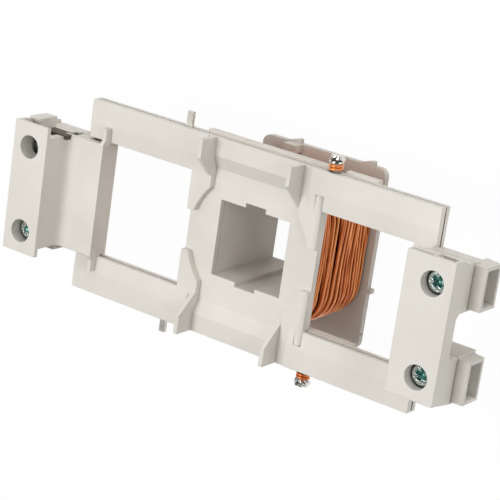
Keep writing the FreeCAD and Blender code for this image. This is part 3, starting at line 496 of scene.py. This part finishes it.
def cross_recess(x, y):
    """Depth of the recess: a cross with sloping walls, deeper to the middle, and four small nicks between
    its arms."""
    def arm(u, v):
        across = np.clip((0.62 - np.abs(u)) / 0.14, 0, 1)
        reach = np.clip((1.75 - np.abs(v)) / 0.35, 0, 1)
        return across * reach
    cross = np.maximum(arm(x, y), arm(y, x))
    radius = np.hypot(x, y)
    depth = 1.35 * cross * np.clip(1.15 - radius / 2.2, 0.25, 1)
    turned_x, turned_y = (x + y) / math.sqrt(2), (x - y) / math.sqrt(2)
    nick = np.clip((0.12 - np.minimum(np.abs(turned_x), np.abs(turned_y))) / 0.08, 0, 1)
    nick = nick * np.clip((2.2 - radius) / 0.2, 0, 1) * np.clip((radius - 0.9) / 0.2, 0, 1)
    return np.maximum(depth, 0.22 * nick), np.maximum(cross, 0.6 * nick)


def screw_head(angle, turn):
    """Radius, drop and hollowness of the head: a slightly domed face with the recess pressed in, a quarter
    circle round its rim and an upright side."""
    face = np.linspace(0.002, 1, 60) ** 0.9 * (SCREW_HEAD - RIM_ROUND)
    rim = np.linspace(0, math.pi / 2, 9)[1:]
    rim_radius = SCREW_HEAD - RIM_ROUND + RIM_ROUND * np.sin(rim)
    rim_drop = 0.1 + RIM_ROUND * (1 - np.cos(rim))
    radius = np.concatenate([face, rim_radius, [SCREW_HEAD, SCREW_HEAD - 0.1]])[:, None] + 0 * angle
    drop = np.concatenate([0.12 * (face / SCREW_HEAD) ** 2, rim_drop, [HEAD_HEIGHT - 0.2, HEAD_HEIGHT]])
    depth, hollow = cross_recess(radius * np.cos(angle + turn), radius * np.sin(angle + turn))
    on_face = (np.arange(len(radius)) < len(face))[:, None]
    return radius, drop[:, None] + np.where(on_face, depth, 0), np.where(on_face, hollow, 0)


def screw_shank(angle):
    """Radius, drop and hollowness of the shank: a core with a ridge that climbs one pitch in a turn and
    fades at both ends."""
    down = np.linspace(0, SHANK_LENGTH, 110)[:, None]
    thread = np.abs(((down / THREAD_PITCH + angle / (2 * math.pi)) % 1.0) * 2 - 1)
    fade = np.clip((SHANK_LENGTH - down) / 0.8, 0, 1) * np.clip(down / 0.5, 0, 1)
    radius = 1.42 + 0.26 * thread * fade
    radius[-1] = 0.01
    return radius, HEAD_HEIGHT + down + 0 * angle, 0.15 + 0 * radius


def screw(side_name, level_name):
    """Screw as one surface turned round its axis, from the middle of the head down to the shank's end."""
    place = side_name, level_name
    x, y, top = SCREW_X[side_name], SCREW_Y[level_name], HEAD_TOP[place]
    angle = np.linspace(0, 2 * math.pi, 145)[None, :-1]
    parts = zip(screw_head(angle, SCREW_TURN[place]), screw_shank(angle))
    radius, drop, hollow = (np.concatenate(pair) for pair in parts)
    points = np.stack([x + radius * np.cos(angle), y + radius * np.sin(angle), top - drop], axis=2)
    piece = surface(f"cross_screw_{side_name}_{level_name}", points[::-1], SCREW_ZINC, close_across=True,
                    hollow=hollow[::-1])
    keep(piece, "zinc_steel", f"terminal_screw_{side_name}_{level_name}")


for side_name in SIDES:
    for level_name in LEVELS:
        screw(side_name, level_name)


# Solids that keep their own shape

def finish_node(name, material):
    """The solid's own mesh with the given finish alone."""
    node = NODES[name]
    node.data.materials.clear()
    node.data.materials.append(material)


finish_node("front_frame", MOULDING)
finish_node("rear_frame", REAR_MOULDING)
finish_node("bobbin", BOBBIN)
for level_name in LEVELS:
    finish_node(f"contact_strip_{level_name}", STRIP)
    for side_name in SIDES:
        finish_node(f"clamp_plate_{side_name}_{level_name}", ZINC)
        finish_node(f"terminal_nut_{side_name}_{level_name}", ZINC)


# Small forms of the mouldings that the solids lack

FLANGE_HALF, FLANGE_LOW, FLANGE_THICK, FLANGE_ROUND = 20.0, 25.6, 1.8, 2.4
FLANGE_EDGE = 2.4  # how much lower than the solid the real flange reaches


def flange_outline(low):
    """Lower outline of the rear flange from its left to its right side: two upright runs and two quarter
    circles joined by a straight run, 66 points in all."""
    angle = np.linspace(math.pi, 1.5 * math.pi, 32)
    x = np.concatenate([[-FLANGE_HALF], FLANGE_ROUND - FLANGE_HALF + FLANGE_ROUND * np.cos(angle)])
    y = np.concatenate([[FLANGE_ROUND - FLANGE_LOW], FLANGE_ROUND - low + FLANGE_ROUND * np.sin(angle)])
    return np.concatenate([np.column_stack([x, y]), np.column_stack([-x, y])[::-1]])


def flange_lower_edge():
    """Lower edge of the rear flange, a band between the solid's outline and the outline further down."""
    inner, outer = flange_outline(FLANGE_LOW), flange_outline(FLANGE_LOW + FLANGE_EDGE)
    ring = [(inner, 0.0), (outer, 0.0), (outer, FLANGE_THICK), (inner, FLANGE_THICK)]
    grid = np.stack([np.column_stack([line, np.full(len(line), z)]) for line, z in ring], axis=1)
    keep(surface("flange_lower_edge", grid, BOBBIN, close_across=True, smooth=False), "moulding")


def wall_end(level_name):
    """Square end of the raised wall beside the left window."""
    near, far = sorted((LEVELS[level_name] * 15.0, LEVELS[level_name] * 20.2))
    end = block(f"window_wall_end_{level_name}", (-49.52, near, 32.0), (-48.28, far, 34.7), MOULDING)
    keep(end, "moulding")


def open_grooves():
    """Take the film off the ends of the grooves in the right-hand pads, with a cutter on the frame."""
    for level_name, level in LEVELS.items():
        near, far = sorted((level * 16.0, level * 20.2))
        cutter = block(f"groove_cutter_{level_name}", (18.6, near, 32.39), (21.0, far, 33.0), MOULDING)
        cutter.hide_render = cutter.hide_viewport = True
        trim = NODES["front_frame"].modifiers.new(f"groove_{level_name}", "BOOLEAN")
        trim.operation = "DIFFERENCE"
        trim.solver = "EXACT"
        trim.object = cutter


flange_lower_edge()
for level_name in LEVELS:
    wall_end(level_name)
open_grooves()
cap = block("terminal_cap_left_upper", (-72.3, 15.2, 31.7), (-68.4, 18.4, 38.6), REAR_MOULDING)
keep(cap, "moulding")
# The leaf's dark brown is painted shade: it stands in the shade inside the left block.
leaf = block("clamp_leaf_left_upper", (-67.6, 14.6, 33.2), (-59.6, 15.7, 37.4), DARK_BRASS)
keep(leaf, "zinc_steel")
filler = block("link_filler_upper", (-59.4, 13.0, 30.3), (-49.4, 15.6, 33.95), REAR_MOULDING)
keep(filler, "moulding")


# Stage: floor, light and camera

FLOOR_HALF, FLOOR_DROP, FLOOR_GLOW = 3.0, 0.0002, 0.965


def floor():
    """Pale floor under the part. Seen directly it is near white and keeps a soft part of the shadow."""
    points = np.array([[-1, -1, 0], [1, -1, 0], [1, 1, 0], [-1, 1, 0]]) * FLOOR_HALF / MM
    material = bpy.data.materials.new("pale_floor")
    material.use_nodes = True
    tree = material.node_tree
    tree.nodes.clear()
    paths = add_node(tree, "ShaderNodeLightPath")
    direct = paths.outputs["Is Camera Ray"]
    for kind in ("Is Glossy Ray", "Is Transmission Ray"):
        either = add_node(tree, "ShaderNodeMath", [(0, direct), (1, paths.outputs[kind])], operation="MAXIMUM")
        direct = either.outputs[0]
    paint = add_node(tree, "ShaderNodeBsdfDiffuse", [("Color", linear("#F2F2F0"))])
    glow = add_node(tree, "ShaderNodeEmission", [("Color", (1, 1, 1, 1)), ("Strength", 1.0)])
    share = add_node(tree, "ShaderNodeMath", [(0, direct), (1, FLOOR_GLOW)], operation="MULTIPLY")
    mixed = add_node(tree, "ShaderNodeMixShader", [
        (0, share.outputs[0]), (1, paint.outputs[0]), (2, glow.outputs[0])])
    add_node(tree, "ShaderNodeOutputMaterial", [("Surface", mixed.outputs[0])])
    made = mesh_piece("floor", points, [[0, 1, 2, 3]], material, smooth=False)
    made.location.z = -FLOOR_DROP


def world_light(strength):
    """Even white surroundings. Seen directly they are white; metal mirrors a dim room between the lamps."""
    world = bpy.data.worlds.new("studio")
    bpy.context.scene.world = world
    world.use_nodes = True
    tree = world.node_tree
    tree.nodes.clear()
    paths = add_node(tree, "ShaderNodeLightPath")
    room = spread(tree, paths.outputs["Is Glossy Ray"], 0, 1, strength, 0.06)
    level = spread(tree, paths.outputs["Is Camera Ray"], 0, 1, room, 1.0)
    background = add_node(tree, "ShaderNodeBackground", [("Color", (1, 1, 1, 1)), ("Strength", level)])
    add_node(tree, "ShaderNodeOutputWorld", [("Surface", background.outputs[0])])


def softbox(name, direction, distance, size, power):
    """Square lamp that faces the part from the given direction."""
    lamp = bpy.data.lights.new(name, "AREA")
    lamp.shape = "SQUARE"
    lamp.size = size
    lamp.energy = power
    holder = bpy.data.objects.new(name, lamp)
    bpy.context.scene.collection.objects.link(holder)
    toward = Vector(direction).normalized()
    holder.location = toward * distance
    holder.rotation_mode = "QUATERNION"
    holder.rotation_quaternion = toward.to_track_quat("Z", "Y")


def camera():
    """Camera at the photograph's viewpoint: its rows are the right, up and back directions."""
    right = (0.80167, 0.13927, -0.58132)
    up = (-0.27985, 0.94677, -0.15910)
    back = (0.52821, 0.29023, 0.79797)
    place = (0.26667, 0.14615, 0.43336)
    lens = bpy.data.cameras.new("photo_camera")
    lens.lens = 139.98
    lens.sensor_width = 36.0
    lens.clip_start, lens.clip_end = 0.02, 20.0
    holder = bpy.data.objects.new("photo_camera", lens)
    bpy.context.scene.collection.objects.link(holder)
    holder.matrix_world = Matrix([
        (right[i], up[i], back[i], place[i]) for i in range(3)] + [(0, 0, 0, 1)])
    bpy.context.scene.camera = holder


floor()
world_light(0.15)
softbox("front_softbox", (-0.15, 0.1, 1.0), 0.9, 0.4, 5.0)
softbox("left_softbox", (-1.0, 0.1, 0.9), 0.9, 0.4, 0.9)
softbox("top_softbox", (0.0, 1.0, 0.25), 0.9, 0.6, 2.7)
softbox("low_softbox", (-0.2, -0.9, 0.7), 0.9, 0.5, 0.4)
softbox("side_softbox", (1.0, 0.2, 0.5), 0.9, 0.5, 2.1)
camera()
bpy.context.scene.view_settings.view_transform = "Standard"
